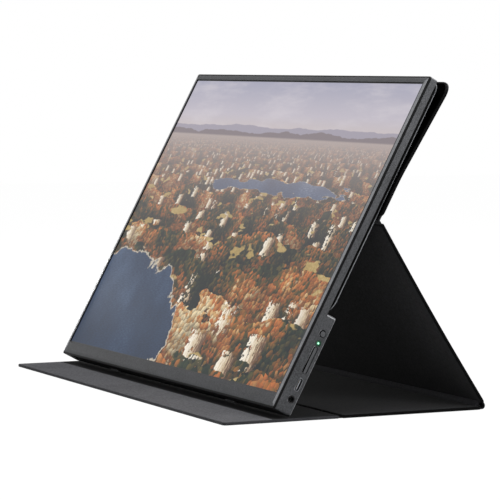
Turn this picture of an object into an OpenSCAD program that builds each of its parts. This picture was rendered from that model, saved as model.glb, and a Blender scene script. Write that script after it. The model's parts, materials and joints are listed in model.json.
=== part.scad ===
/* [Monitor] */
// Width of the monitor across its face
monitor_w = 356; // [340:1:370]
// Height of the monitor along its face
monitor_h = 231.2; // [226:0.1:240]
// Thickness of the slim upper section
slim_t = 6.5; // [6:0.1:7.5]
// Thickness of the lower housing with the electronics
housing_t = 13.25; // [13:0.05:14]
// Height of the lower housing, from the bottom edge up to its step
housing_h = 68; // [68:1:69]
// Corner radius of the monitor's outline
corner_r = 2; // [1:0.5:3]
// Side wall thickness round the electronics
wall_t = 1.4; // [1.2:0.1:1.4]

/* [Display] */
// Visible width of the display
view_w = 344.7; // [330:0.1:345]
// Visible height of the display
view_h = 215.4; // [205:0.1:216]
// Height of the chin below the display
chin_h = 10.3; // [8:0.1:10.5]

/* [Stand] */
// Lean of the face, in degrees from the table
tilt = 61.75; // [60:0.25:64]
// Place of the upper fold, along the face from the bottom edge
fold_s = 135; // [130:1:138]
// Length of the strut between its two folds
strut_len = 144.2; // [142:0.1:150]
// Depth of the base from its front edge to the rear fold
base_depth = 186; // [182:1:200]
// Depth of the front flap, from its front edge to the crease
flap_depth = 79; // [70:1:82]

/* [Cover] */
// Width of the cover
cover_w = 359.4; // [357.5:0.1:364]
// Thickness of the outer skin
skin_t = 0.45; // [0.4:0.05:0.5]
// Thickness of the stiffener boards
board_t = 1.2; // [1.1:0.1:1.3]
// Thickness of the inner lining
lining_t = 0.45; // [0.4:0.05:0.5]
// Corner radius at the top of the upper panel
cover_r = 8; // [5:0.5:12]
// Corner radius at the front edge and at the foot of the upper panel
flap_r = 3; // [2:0.5:6]
// How far the top edge of the cover stands off the monitor's back
top_rise = 4.6; // [2:0.2:6]

/* [Controls] */
// Place of the power button, up from the bottom edge
power_s = 55.3; // [55:0.1:56]
// Place of the status light
light_s = 48.8; // [48.6:0.1:49]
// Place of the middle of the rocker key
rocker_s = 37; // [36.5:0.1:37.2]
// Length of the rocker key
rocker_len = 18.4; // [16:0.2:18.6]
// Place of the middle of the data socket
usb_s = 20.4; // [20:0.1:20.6]
// Place of the headphone socket
jack_s = 10.2; // [9.8:0.1:10.4]

/* [Hidden] */
$fn = 48;
cut = 0.1;

// Depths behind the face
lip_t = 0.6;
frame_t = 1.6;
glass_t = 1.7;
films_t = 2.2;
guide_t = 3.4;
reflector_t = 3.6;
tray_t = 3.9;
slim_floor_t = slim_t - 1.0;
plate_t = slim_t + 3.2;
back_t = housing_t - 1.0;
control_t = slim_t + 2.8;
pcb_thick = 0.95;
standoff = 0.3;
pcb_t = back_t - standoff - pcb_thick;

// Display stack
rim_w = 3.2;
view_border = 0.6;
stack_w = monitor_w - 2 * rim_w - 0.4;
stack_s = rim_w + 0.2;
stack_top = monitor_h - rim_w - 0.2;
guide_s = chin_h - 0.4;
led_bar_s = guide_s - 1.3;

// Rear plate and its magnets
plate_w = monitor_w - 4;
plate_s = housing_h + 2;
plate_r = 8;
plate_wall = 1.3;
magnet_w = 24;
magnet_h = 8;
magnet_t = 1.6;
magnet_x = [-150, -90, -30, 30, 90, 150];
magnet_s = [150, 216];

// Circuit board and the sockets on its edge
side_x = monitor_w / 2;
pcb_x = [100, side_x - 4.5];
pcb_s = [5, 62];
usb_len = 8.94;
usb_h = 3.26;
usb_depth = 7.3;
usb_wall = 0.3;
usb_t = slim_t + 2.85;
jack_t = slim_t + 2.5;
pin_t = slim_t + 0.2;
jack_body_r = 2.45;
jack_bore_r = 1.8;
jack_len = 13;
jack_bore_len = 12;
cable_x = [110, 140];
cable_s = 58.7;
cable_thick = 0.2;

// Buttons and what they press
button_r = 2.2;
button_bore_r = 2.3;
button_flange_r = 2.55;
button_sunk = 0.3;
button_len = 3.4;
button_gap = 0.5;
key_w = 2.8;
key_clear = 0.2;
key_sunk = 0.6;
key_flange = 1.0;
key_eye_x = side_x - 4.6;
key_eye_r = 1.3;
pin_r = 0.6;
pin_bore_r = 0.65;
pipe_r = 0.95;
flange_gap = 0.4;

// Speakers, screws and feet
speaker_x = 75;
speaker_size = [40, 22, 4.4];
cone_r = 8.5;
cone_s = 11;
cone_sunk = 0.8;
slot_count = 9;
slot_pitch = 3.6;
screw_x = [104, 160];
screw_s = [9, 57];
screw_r = 0.7;
screw_bite = 0.5;
screw_head_r = 1.5;
screw_head_t = 0.5;
boss_r = 2.2;
foot_x = 97;
foot_len = 14;
foot_w = 3;
foot_h = 0.7;

// Cover
cover_t = skin_t + board_t + lining_t;
hem_w = 2.5;
fold_r = 0.5;
fold_gap = 2.8;
fold_clear = 0.3;
fold_t = plate_t + 1.3;
bend_s = 165;
cover_top = monitor_h + 3.3;
cover_magnet_t = board_t - 0.2;
crease_lift = 0.15;
groove_r = 1.6;

// Where the folds lie, seen from the side
heel_clear = 0.67;
face_z = cover_t + heel_clear + housing_t * cos(tilt);
rear_y = base_depth / 2 - cover_t / 2;
rear_z = cover_t / 2;
upper_z = face_z + fold_s * sin(tilt) - fold_t * cos(tilt);
strut_lean = asin((upper_z - rear_z) / strut_len);
upper_y = rear_y - strut_len * cos(strut_lean);
face_y = upper_y - fold_s * cos(tilt) - fold_t * sin(tilt);
front_y = -base_depth / 2;
crease_y = front_y + flap_depth;
crease_z = cover_t + crease_lift;

// The monitor's own frame: X across, Y up along the face, Z out of the screen
module on_monitor() {
    translate([0, face_y, face_z]) rotate([tilt, 0, 0]) children();
}

// The strut's own frame: Y from the rear fold to the upper fold, +Z on the inner side
module on_strut() {
    translate([0, rear_y, rear_z]) rotate([180 - strut_lean, 0, 0]) children();
}

// A block by its limits across, up the face and back from it
module block(x, s, t) {
    translate([x[0], s[0], -t[1]]) cube([x[1] - x[0], s[1] - s[0], t[1] - t[0]]);
}

// A rectangle from y0 to y1 with its own corner radius at each end
module outline(w, y0, y1, r0, r1) {
    translate([-w / 2 + r0, y0]) square([w - 2 * r0, y1 - y0 - r1]);
    translate([-w / 2 + r1, y0 + r0]) square([w - 2 * r1, y1 - y0 - r0]);
    translate([-w / 2, y0 + r0]) square([w, y1 - y0 - r0 - r1]);
    for (side = [-1, 1]) {
        translate([side * (w / 2 - r0), y0 + r0]) circle(r0);
        translate([side * (w / 2 - r1), y1 - r1]) circle(r1);
    }
}

// A sheet with round corners between two depths behind the face
module sheet(w, s, r, t) {
    translate([0, 0, -t[1]]) linear_extrude(t[1] - t[0]) outline(w, s[0], s[1], r, r);
}

// A rod across the monitor, from x0 to x1
module cross_rod(x, s, t, r) {
    translate([x[0], s, -t]) rotate([0, 90, 0]) cylinder(r = r, h = x[1] - x[0]);
}

// A bar with round ends, whose long side runs up the face
module pill(x, s, t, len, w) {
    end = (len - w) / 2;
    cross_rod(x, s - end, t, w / 2);
    cross_rod(x, s + end, t, w / 2);
    block(x, [s - end, s + end], [t - w / 2, t + w / 2]);
}

// The places of the screws that hold the main board
module at_screws() {
    for (x = screw_x, s = screw_s) translate([x, s, 0]) children();
}

module front_frame() {
    color("#4b4b4e") on_monitor() difference() {
        sheet(monitor_w, [0, monitor_h], corner_r, [0, frame_t]);
        block([-view_w / 2 - view_border, view_w / 2 + view_border],
              [chin_h - view_border, chin_h + view_h + view_border], [-cut, frame_t + cut]);
        block([-monitor_w / 2 + rim_w, monitor_w / 2 - rim_w],
              [rim_w, monitor_h - rim_w], [lip_t, frame_t + cut]);
    }
}

module lcd_panel() {
    color("#7d869c") on_monitor()
        block([-stack_w / 2, stack_w / 2], [stack_s, stack_top], [lip_t, glass_t]);
}

module diffuser_films() {
    color("#e9ebee") on_monitor()
        block([-stack_w / 2 + 1, stack_w / 2 - 1], [guide_s, stack_top - 1], [glass_t, films_t]);
}

module light_guide() {
    color("#d5e6ee") on_monitor()
        block([-stack_w / 2 + 1, stack_w / 2 - 1], [guide_s, stack_top - 1], [films_t, guide_t]);
}

module reflector_sheet() {
    color("#f4f4f4") on_monitor() block([-stack_w / 2 + 1, stack_w / 2 - 1],
                                        [guide_s, stack_top - 1], [guide_t, reflector_t]);
}

module led_bar() {
    color("#e6d9a0") on_monitor()
        block([-stack_w / 2 + 4, stack_w / 2 - 4], [led_bar_s, guide_s - 0.1], [films_t, guide_t]);
}

module panel_tray() {
    color("#9ea3a8") on_monitor()
        block([-stack_w / 2, stack_w / 2], [stack_s, stack_top], [reflector_t, tray_t]);
}

module speaker_slots() {
    for (side = [-1, 1], n = [0 : slot_count - 1]) {
        x = side * speaker_x + (n - (slot_count - 1) / 2) * slot_pitch;
        block([x - 0.6, x + 0.6], [-cut, wall_t + cut], [slim_t + 1.6, slim_t + 4.6]);
    }
}

// One piece: a shallow tray behind the display that deepens into the housing below
module rear_shell() {
    wall = [side_x - wall_t - cut, side_x + cut];
    color("#48494c") on_monitor() difference() {
        union() {
            sheet(monitor_w, [0, monitor_h], corner_r, [frame_t, slim_t]);
            sheet(monitor_w, [0, housing_h], corner_r, [frame_t, housing_t]);
        }
        block([-side_x + rim_w, side_x - rim_w], [rim_w, monitor_h - rim_w],
              [frame_t - cut, slim_floor_t]);
        difference() {
            block([-side_x + wall_t, side_x - wall_t], [wall_t, housing_h - wall_t],
                  [slim_floor_t - cut, back_t]);
            at_screws() translate([0, 0, -back_t - cut]) cylinder(r = boss_r, h = standoff + cut);
        }
        at_screws() translate([0, 0, -back_t - screw_bite])
            cylinder(r = screw_r, h = standoff + screw_bite + cut);
        cross_rod(wall, power_s, control_t, button_bore_r);
        cross_rod(wall, light_s, control_t, pipe_r);
        pill(wall, rocker_s, control_t, rocker_len + 2 * key_clear, key_w + 2 * key_clear);
        pill(wall, usb_s, usb_t, usb_len, usb_h);
        cross_rod(wall, jack_s, jack_t, jack_body_r);
        speaker_slots();
    }
}

module magnets(t) {
    for (x = magnet_x, s = magnet_s)
        block([x - magnet_w / 2, x + magnet_w / 2], [s, s + magnet_h], t);
}

module rear_plate() {
    color("#1b1b1d") on_monitor() difference() {
        sheet(plate_w, [plate_s, monitor_h], plate_r, [slim_t, plate_t]);
        sheet(plate_w - 2 * plate_wall, [plate_s + plate_wall, monitor_h - plate_wall],
              plate_r - plate_wall, [slim_t - cut, plate_t - plate_wall]);
    }
}

module plate_magnets() {
    color("#b9bcc0") on_monitor() magnets([slim_t, slim_t + magnet_t]);
}

module main_board() {
    color("#1f5a3c") on_monitor() difference() {
        block(pcb_x, pcb_s, [pcb_t, pcb_t + pcb_thick]);
        block([side_x - jack_len - 1, side_x], [jack_s - 3.5, jack_s + 3.5],
              [pcb_t - cut, pcb_t + pcb_thick + cut]);
        at_screws() translate([0, 0, -back_t]) cylinder(r = screw_r, h = back_t - pcb_t + cut);
    }
}

module board_chips() {
    color("#242428") on_monitor() {
        block([118, 134], [34, 50], [pcb_t - 1.2, pcb_t]);
        block([142, 150], [40, 48], [pcb_t - 1.0, pcb_t]);
        block([106, 112], [14, 24], [pcb_t - 1.4, pcb_t]);
        block([122, 130], [10, 16], [pcb_t - 2.0, pcb_t]);
        block([138, 144], [12, 18], [pcb_t - 2.4, pcb_t]);
    }
}

module board_screws() {
    shank = back_t + screw_bite;
    color("#303033") on_monitor() at_screws() {
        translate([0, 0, -shank]) cylinder(r = screw_r, h = shank - pcb_t);
        translate([0, 0, -pcb_t]) cylinder(r = screw_head_r, h = screw_head_t);
    }
}

module display_ribbon() {
    back = tray_t + cable_thick;
    color("#c58a3a") on_monitor() {
        block(cable_x, [20, cable_s + cable_thick], [tray_t, back]);
        block(cable_x, [cable_s, cable_s + cable_thick], [tray_t, pcb_t]);
        block(cable_x, [52, cable_s + cable_thick], [pcb_t - cable_thick, pcb_t]);
    }
}

module usb_c_socket() {
    mouth = side_x + cut;
    color("#b4b7bb") on_monitor() {
        difference() {
            pill([side_x - usb_depth, side_x], usb_s, usb_t, usb_len, usb_h);
            pill([side_x - usb_depth + 0.8, mouth], usb_s, usb_t,
                 usb_len - 2 * usb_wall, usb_h - 2 * usb_wall);
        }
        block([side_x - usb_depth + 0.5, side_x - 0.6], [usb_s - 3.3, usb_s + 3.3],
              [usb_t - 0.35, usb_t + 0.35]);
    }
}

module headphone_jack() {
    color("#202022") on_monitor() difference() {
        cross_rod([side_x - jack_len, side_x], jack_s, jack_t, jack_body_r);
        cross_rod([side_x - jack_bore_len, side_x + cut], jack_s, jack_t, jack_bore_r);
    }
}

// A small switch on the board whose plunger faces the side wall
module edge_switch(s, plunger_x) {
    block([plunger_x - 4.2, plunger_x - 0.8], [s - 2.2, s + 2.2], [pcb_t - 3.2, pcb_t]);
    cross_rod([plunger_x - 0.8, plunger_x], s, control_t, 0.7);
}

module power_switch() {
    color("#8f9296") on_monitor()
        edge_switch(power_s, side_x - button_sunk - button_len - button_gap);
}

module rocker_switches() {
    color("#8f9296") on_monitor() for (side = [-1, 1])
        edge_switch(rocker_s + side * 7, side_x - wall_t - flange_gap - key_flange - 0.9);
}

module rocker_pin() {
    color("#c9ccd0") on_monitor()
        translate([key_eye_x, rocker_s, -pcb_t]) cylinder(r = pin_r, h = pcb_t - pin_t);
}

module light_pipe() {
    color("#7be27b") on_monitor() cross_rod([side_x - 7, side_x], light_s, control_t, pipe_r);
}

module speaker(side) {
    x = side * speaker_x;
    on_monitor() difference() {
        block([x - speaker_size[0] / 2, x + speaker_size[0] / 2],
              [wall_t, wall_t + speaker_size[1]], [back_t - speaker_size[2], back_t]);
        translate([x, wall_t + cone_s, -back_t + speaker_size[2] - cone_sunk])
            cylinder(r = cone_r, h = cone_sunk + cut);
    }
}

module left_speaker() {
    color("#2a2a2c") speaker(-1);
}

module right_speaker() {
    color("#2a2a2c") speaker(1);
}

module rubber_feet() {
    t = housing_t - 0.7;
    color("#77787a") on_monitor() for (side = [-1, 1])
        block([side * foot_x - foot_len / 2, side * foot_x + foot_len / 2],
              [-foot_h, 0], [t - foot_w, t]);
}

module power_button() {
    out = side_x - button_sunk;
    flange = side_x - wall_t - flange_gap;
    color("#2b2b2d") on_monitor() {
        cross_rod([out - button_len, out], power_s, control_t, button_r);
        cross_rod([flange - 0.8, flange], power_s, control_t, button_flange_r);
    }
}

module rocker_key() {
    flange = side_x - wall_t - flange_gap;
    color("#2b2b2d") on_monitor() difference() {
        union() {
            pill([flange, side_x - key_sunk], rocker_s, control_t, rocker_len, key_w);
            pill([flange - key_flange, flange], rocker_s, control_t, rocker_len + 1.6, 3.6);
            translate([key_eye_x, rocker_s, -control_t - 1.1]) cylinder(r = key_eye_r, h = 2.2);
            block([key_eye_x, flange - key_flange + 0.1], [rocker_s - 0.9, rocker_s + 0.9],
                  [control_t - 1.1, control_t + 1.1]);
        }
        translate([key_eye_x, rocker_s, -control_t - 3]) cylinder(r = pin_bore_r, h = 6);
    }
}

// One layer of the upper panel, which leans off the monitor above its bend
module upper_layer(d0, d1, inset) {
    s0 = fold_s + fold_gap + inset;
    s1 = cover_top - inset;
    rise = top_rise * (s1 - bend_s) / (cover_top - bend_s);
    near = plate_t + d0;
    far = plate_t + d1;
    intersection() {
        translate([-cover_w / 2, 0, 0]) rotate([0, 90, 0]) linear_extrude(cover_w)
            polygon([[near, s0], [near, bend_s], [near + rise, s1],
                     [far + rise, s1], [far, bend_s], [far, s0]]);
        translate([0, 0, -plate_t - 12]) linear_extrude(16)
            outline(cover_w - 2 * inset, s0, s1, flap_r, cover_r);
    }
}

module upper_skin() {
    color("#111113") on_monitor() difference() {
        upper_layer(lining_t, cover_t, 0);
        upper_layer(lining_t - cut, lining_t + board_t, hem_w);
    }
}

module cover_magnet_bars(t) {
    for (x = magnet_x)
        block([x - magnet_w / 2, x + magnet_w / 2], [magnet_s[0], magnet_s[0] + magnet_h], t);
}

module upper_board() {
    color("#8d8471") on_monitor() difference() {
        upper_layer(lining_t, lining_t + board_t, hem_w);
        cover_magnet_bars([plate_t + lining_t - cut, plate_t + lining_t + cover_magnet_t]);
    }
}

module upper_lining() {
    color("#1c1c1e") on_monitor() upper_layer(0, lining_t, 0);
}

module cover_magnets() {
    color("#b9bcc0") on_monitor()
        cover_magnet_bars([plate_t + lining_t, plate_t + lining_t + cover_magnet_t]);
}

module upper_fold_strip() {
    r = cover_t / 2;
    color("#151517") on_monitor() difference() {
        translate([-cover_w / 2 + fold_r, fold_s, -fold_t]) rotate([0, 90, 0])
            cylinder(r = r, h = cover_w - 2 * fold_r);
        block([-cover_w, cover_w], [0, monitor_h], [0, plate_t]);
    }
}

// The three layers of a flat panel, with +Z on the lining's side
module panel_skin(y0, y1, r0, r1) {
    difference() {
        linear_extrude(skin_t + board_t) outline(cover_w, y0, y1, r0, r1);
        translate([0, 0, skin_t]) linear_extrude(board_t + cut)
            outline(cover_w - 2 * hem_w, y0 + hem_w, y1 - hem_w, r0, r1);
    }
}

module panel_board(y0, y1, r0, r1) {
    translate([0, 0, skin_t]) linear_extrude(board_t)
        outline(cover_w - 2 * hem_w, y0 + hem_w, y1 - hem_w, r0, r1);
}

module panel_lining(y0, y1, r0, r1) {
    translate([0, 0, skin_t + board_t]) linear_extrude(lining_t)
        outline(cover_w, y0, y1, r0, r1);
}

// The lining faces the monitor, so the strut's layers start at its outer side
module strut_layers() {
    on_strut() translate([0, 0, -cover_t / 2]) children();
}

module strut_skin() {
    color("#1a1a1c") strut_layers() panel_skin(fold_gap, strut_len - fold_gap, fold_r, fold_r);
}

module strut_board() {
    color("#8d8471") strut_layers() panel_board(fold_gap, strut_len - fold_gap, fold_r, fold_r);
}

module strut_lining() {
    color("#232325") strut_layers() panel_lining(fold_gap, strut_len - fold_gap, fold_r, fold_r);
}

module base_skin() {
    color("#1a1a1c") panel_skin(crease_y + fold_gap, rear_y - fold_gap, fold_r, fold_r);
}

module base_board() {
    color("#8d8471") panel_board(crease_y + fold_gap, rear_y - fold_gap, fold_r, fold_r);
}

module base_lining() {
    color("#232325") panel_lining(crease_y + fold_gap, rear_y - fold_gap, fold_r, fold_r);
}

module rear_fold_strip() {
    color("#232325") {
        translate([-cover_w / 2 + fold_r, rear_y, rear_z]) rotate([0, 90, 0])
            cylinder(r = rear_z, h = cover_w - 2 * fold_r);
        translate([-cover_w / 2 + fold_r, rear_y - fold_gap, 0])
            cube([cover_w - 2 * fold_r, fold_gap, skin_t]);
    }
}

module flap_skin() {
    color("#4e4f52") panel_skin(front_y, crease_y - fold_clear, flap_r, fold_r);
}

module flap_board() {
    color("#8d8471") panel_board(front_y, crease_y - fold_clear, flap_r, fold_r);
}

module flap_lining() {
    color("#5b5c5f") panel_lining(front_y, crease_y - fold_clear, flap_r, fold_r);
}

// The fabric at the crease, pressed into a round groove about the line it folds on
module crease_strip() {
    color("#2a2a2c") difference() {
        translate([-cover_w / 2 + fold_r, crease_y + fold_clear, 0])
            cube([cover_w - 2 * fold_r, fold_gap - fold_clear, skin_t + lining_t]);
        translate([-cover_w / 2, crease_y, crease_z]) rotate([0, 90, 0])
            cylinder(r = groove_r, h = cover_w);
    }
}

front_frame();
lcd_panel();
diffuser_films();
light_guide();
reflector_sheet();
led_bar();
panel_tray();
rear_shell();
rear_plate();
plate_magnets();
main_board();
board_chips();
board_screws();
display_ribbon();
usb_c_socket();
headphone_jack();
power_switch();
rocker_switches();
rocker_pin();
light_pipe();
left_speaker();
right_speaker();
rubber_feet();
power_button();
rocker_key();
upper_skin();
upper_board();
upper_lining();
cover_magnets();
upper_fold_strip();
strut_skin();
strut_board();
strut_lining();
base_skin();
base_board();
base_lining();
rear_fold_strip();
flap_skin();
flap_board();
flap_lining();
crease_strip();
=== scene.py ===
import json
import math

import bmesh
import bpy
from mathutils import Matrix, Vector


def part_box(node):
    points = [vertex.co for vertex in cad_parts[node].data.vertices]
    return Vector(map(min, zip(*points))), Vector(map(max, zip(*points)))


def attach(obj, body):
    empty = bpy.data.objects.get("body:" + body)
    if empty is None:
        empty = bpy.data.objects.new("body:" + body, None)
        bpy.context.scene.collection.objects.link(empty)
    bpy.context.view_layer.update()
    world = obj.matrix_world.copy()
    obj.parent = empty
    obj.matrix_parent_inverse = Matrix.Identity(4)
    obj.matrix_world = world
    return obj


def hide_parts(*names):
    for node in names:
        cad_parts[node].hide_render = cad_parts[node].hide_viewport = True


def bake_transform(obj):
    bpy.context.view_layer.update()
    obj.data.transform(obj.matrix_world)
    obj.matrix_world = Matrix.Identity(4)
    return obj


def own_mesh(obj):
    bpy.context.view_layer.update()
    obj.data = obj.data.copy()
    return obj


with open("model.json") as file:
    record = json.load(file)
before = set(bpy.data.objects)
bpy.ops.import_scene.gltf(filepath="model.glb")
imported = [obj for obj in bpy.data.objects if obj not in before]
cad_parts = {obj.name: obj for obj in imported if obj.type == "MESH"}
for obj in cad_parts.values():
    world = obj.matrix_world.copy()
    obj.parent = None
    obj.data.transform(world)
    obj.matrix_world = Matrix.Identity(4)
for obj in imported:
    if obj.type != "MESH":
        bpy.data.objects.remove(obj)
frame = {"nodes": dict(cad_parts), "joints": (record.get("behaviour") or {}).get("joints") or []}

nodes = frame["nodes"]
joints = {joint["name"]: joint for joint in frame["joints"]}
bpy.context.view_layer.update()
mm = 0.001

# The camera stands to the right of the monitor and a little above the table, far off,
# behind a long lens. It is level, and looks along its azimuth and slightly down.
camera_place = Vector((1.66767, -0.77796, 0.22035))
camera_turn = math.radians(64.72)
camera_dip = math.radians(3.94)
lens = bpy.data.cameras.new("camera")
lens.lens = 195.05
lens.sensor_width = 36
lens.clip_end = 20
camera = bpy.data.objects.new("camera", lens)
backwards = Vector((
    math.sin(camera_turn) * math.cos(camera_dip),
    -math.cos(camera_turn) * math.cos(camera_dip),
    math.sin(camera_dip),
))
camera.location = camera_place
camera.rotation_euler = backwards.to_track_quat("Z", "Y").to_euler()
bpy.context.scene.collection.objects.link(camera)
bpy.context.scene.camera = camera
bpy.context.scene.view_settings.view_transform = "Standard"


# The studio is a white table in a white room, with a soft lamp above the monitor, one at
# its right side, one behind it, and a weak one that shines in from the left. The camera and
# clear reflections see table and room as plain white, and the table still takes the shadow.
class Wire:
    """An output socket of a node tree. Arithmetic on it adds Math nodes."""

    def __init__(self, tree, socket=None):
        self.tree = tree
        self.socket = socket

    def add(self, kind, settings=None, inputs=None, output=0):
        """Adds a node, sets it up, feeds its inputs and gives one of its outputs."""
        node = self.tree.nodes.new("ShaderNode" + kind)
        for name, value in (settings or {}).items():
            if name == "stops":
                ramp = node.color_ramp
                while len(ramp.elements) < len(value):
                    ramp.elements.new(1)
                for element, (place, colour) in zip(ramp.elements, value):
                    element.position = place
                    element.color = colour
            else:
                setattr(node, name, value)
        for name, value in (inputs or {}).items():
            if isinstance(value, Wire):
                self.tree.links.new(value.socket, node.inputs[name])
            else:
                node.inputs[name].default_value = value
        return Wire(self.tree, node.outputs[output] if node.outputs else None)

    def other(self, output):
        """Another output of the same node."""
        return Wire(self.tree, self.socket.node.outputs[output])

    def math(self, operation, *values):
        return self.add("Math", {"operation": operation}, dict(enumerate(values)))

    def vector(self, operation, *values, output="Vector"):
        """Vector maths on this vector and the values after it."""
        return self.add("VectorMath", {"operation": operation}, dict(enumerate((self, *values))), output)

    def coordinate(self, axis):
        """The X, Y or Z of a vector, as axis 0, 1 or 2."""
        return self.add("SeparateXYZ", inputs={0: self}, output=axis)

    def __add__(self, other):
        return self.math("ADD", self, other)

    def __radd__(self, other):
        return self.math("ADD", other, self)

    def __sub__(self, other):
        return self.math("SUBTRACT", self, other)

    def __rsub__(self, other):
        return self.math("SUBTRACT", other, self)

    def __mul__(self, other):
        return self.math("MULTIPLY", self, other)

    def __rmul__(self, other):
        return self.math("MULTIPLY", other, self)

    def __truediv__(self, other):
        return self.math("DIVIDE", self, other)


def mixed(factor, first, second):
    """The colour that lies at factor between two colours."""
    wire = next(value for value in (factor, first, second) if isinstance(value, Wire))
    return wire.add("Mix", {"data_type": "RGBA"}, {0: factor, 6: first, 7: second}, 2)


def seen_plainly(tree):
    """1 for the camera and for clear reflections, and 0 for light on its way to a surface."""
    seen = Wire(tree).add("LightPath", output="Is Camera Ray")
    for name in ("Is Glossy Ray", "Is Transmission Ray"):
        seen = seen.math("MAXIMUM", seen, Wire(tree).add("LightPath", output=name))
    return seen


white = (1, 1, 1, 1)
room_light = 0.3
world = bpy.data.worlds.new("room")
world.use_nodes = True
world.node_tree.nodes.clear()
plain_view = seen_plainly(world.node_tree)
dim_room = plain_view.add("Background", inputs={"Color": white, "Strength": room_light})
bright_room = plain_view.add("Background", inputs={"Color": white, "Strength": 1})
room = plain_view.add("MixShader", inputs={0: plain_view, 1: dim_room, 2: bright_room})
room.add("OutputWorld", inputs={"Surface": room})
bpy.context.scene.world = world

table_size = 6
table_depth = 0.1 * mm
shadow_share = 0.06
table_glow = 1.04
table_paint = bpy.data.materials.new("white_table")
table_paint.use_nodes = True
table_paint.node_tree.nodes.clear()
plain_view = seen_plainly(table_paint.node_tree)
matt = plain_view.add("BsdfDiffuse", inputs={"Color": (0.8, 0.8, 0.8, 1)})
glow = plain_view.add("Emission", inputs={"Color": white, "Strength": table_glow})
table_top = plain_view.add("MixShader", inputs={0: plain_view * (1 - shadow_share), 1: matt, 2: glow})
table_top.add("OutputMaterial", inputs={"Surface": table_top})
bpy.ops.object.select_all(action="DESELECT")
bpy.ops.mesh.primitive_plane_add(size=table_size, location=(0, 0, -table_depth))
table = bpy.context.object
table.name = "table"
table.data.materials.append(table_paint)


def soft_lamp(name, place, aim, size, power, spread=180):
    """A square lamp of a given width in metres, turned to aim, with its beam's spread in degrees."""
    light = bpy.data.lights.new(name, "AREA")
    light.size = size
    light.energy = power
    light.spread = math.radians(spread)
    lamp = bpy.data.objects.new(name, light)
    lamp.location = place
    lamp.rotation_euler = (Vector(place) - Vector(aim)).to_track_quat("Z", "Y").to_euler()
    lamp.visible_camera = False
    bpy.context.scene.collection.objects.link(lamp)


soft_lamp("top_lamp", (0.17, -0.21, 1.2), (0, -0.05, 0.05), 0.45, 11.5)
soft_lamp("side_lamp", (0.66, 0.22, 0.33), (0.17, 0.05, 0.18), 0.3, 1.7)
soft_lamp("inner_lamp", (-0.50, 0.0, 0.06), (0.05, 0.06, 0.05), 0.1, 0.045, 34)
soft_lamp("rear_lamp", (-0.25, 1.3, 0.9), (0, 0.05, 0.1), 0.8, 15)


# The monitor's back is one shallow tray, milled from aluminium, bead-blasted and anodised
# dark grey. It holds the display, and over its lowest 68 mm it deepens into a housing for
# the electronics, with holes in its right wall for the controls and the sockets.
key_axis = Vector(joints["key_rock"]["axis"])
lean = math.atan2(key_axis.y, -key_axis.z)
up_face = Vector((0, math.cos(lean), math.sin(lean)))
out_of_face = Vector((0, -math.sin(lean), math.cos(lean)))
frame_points = [vertex.co for vertex in nodes["front_frame"].data.vertices]
foot = min(point.dot(up_face) for point in frame_points)
front = max(point.dot(out_of_face) for point in frame_points)
on_monitor = (Matrix.Translation(foot * up_face + front * out_of_face)
              @ Matrix.Rotation(lean, 4, "X"))
on_table = Matrix.Identity(4)
weld = 0.001 * mm
roughly = 0.1 * mm


def flat_points(node, place):
    """A CAD node's points in the flat frame that place stands up."""
    flat = place.inverted()
    return [flat @ vertex.co for vertex in nodes[node].data.vertices]


def flat_box(node, place):
    """The lowest and highest corner of a CAD node in that flat frame."""
    points = flat_points(node, place)
    return Vector(map(min, *points)), Vector(map(max, *points))


def take_up(piece=None):
    """Selects one piece and nothing else, so that an operator acts on it alone."""
    bpy.ops.object.select_all(action="DESELECT")
    if piece:
        piece.select_set(True)
        bpy.context.view_layer.objects.active = piece


def apply_modifier(piece, kind, **settings):
    """Adds a modifier to a piece and applies it."""
    take_up(piece)
    modifier = piece.modifiers.new("step", kind)
    for name, value in settings.items():
        setattr(modifier, name, value)
    bpy.ops.object.modifier_apply(modifier="step")


def rounded(piece, width, sharpest=35, segments=2):
    """Rounds a piece's sharp edges, and shades it so that its flat faces stay flat."""
    if width:
        apply_modifier(piece, "BEVEL", width=width, segments=segments, limit_method="ANGLE",
                       angle_limit=math.radians(sharpest), use_clamp_overlap=False)
    take_up(piece)
    bpy.ops.object.shade_smooth_by_angle(angle=math.radians(50))
    apply_modifier(piece, "WEIGHTED_NORMAL", keep_sharp=True)


def eased(name, node, width):
    """A copy of a CAD node with its sharp edges rounded."""
    piece = bpy.data.objects.new(name, nodes[node].data.copy())
    piece.data.materials.clear()
    bpy.context.scene.collection.objects.link(piece)
    take_up(piece)
    bpy.ops.object.mode_set(mode="EDIT")
    bpy.ops.mesh.select_all(action="SELECT")
    bpy.ops.mesh.customdata_custom_splitnormals_clear()
    bpy.ops.mesh.remove_doubles(threshold=weld)
    bpy.ops.mesh.dissolve_limited(angle_limit=math.radians(1))
    bpy.ops.object.mode_set(mode="OBJECT")
    rounded(piece, width)
    return piece


def fixed(piece, body, slot, *replaced):
    """Says what a piece rides on and the CAD nodes that it stands for. Its slot is not used."""
    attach(piece, body)
    if replaced:
        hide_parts(*replaced)


def tone(red, green, blue):
    """A colour as light, from the 0 to 255 that a screen shows."""
    shares = [value / 255 for value in (red, green, blue)]
    linear = [s / 12.92 if s < 0.04045 else ((s + 0.055) / 1.055) ** 2.4 for s in shares]
    return (*linear, 1)


def surface(name, **constants):
    """A new material with its constant values set on the shader, and the place on the piece."""
    material = bpy.data.materials.new(name)
    material.use_nodes = True
    shader = material.node_tree.nodes["Principled BSDF"]
    for socket, value in constants.items():
        shader.inputs[socket.replace("_", " ")].default_value = value
    return material, Wire(material.node_tree).add("TexCoord", output="Object")


def feed(material, **wires):
    """Links what changes over the surface to the shader, and gives the material."""
    shader = material.node_tree.nodes["Principled BSDF"]
    for socket, wire in wires.items():
        wire.tree.links.new(wire.socket, shader.inputs[socket.replace("_", " ")])
    return material


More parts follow.
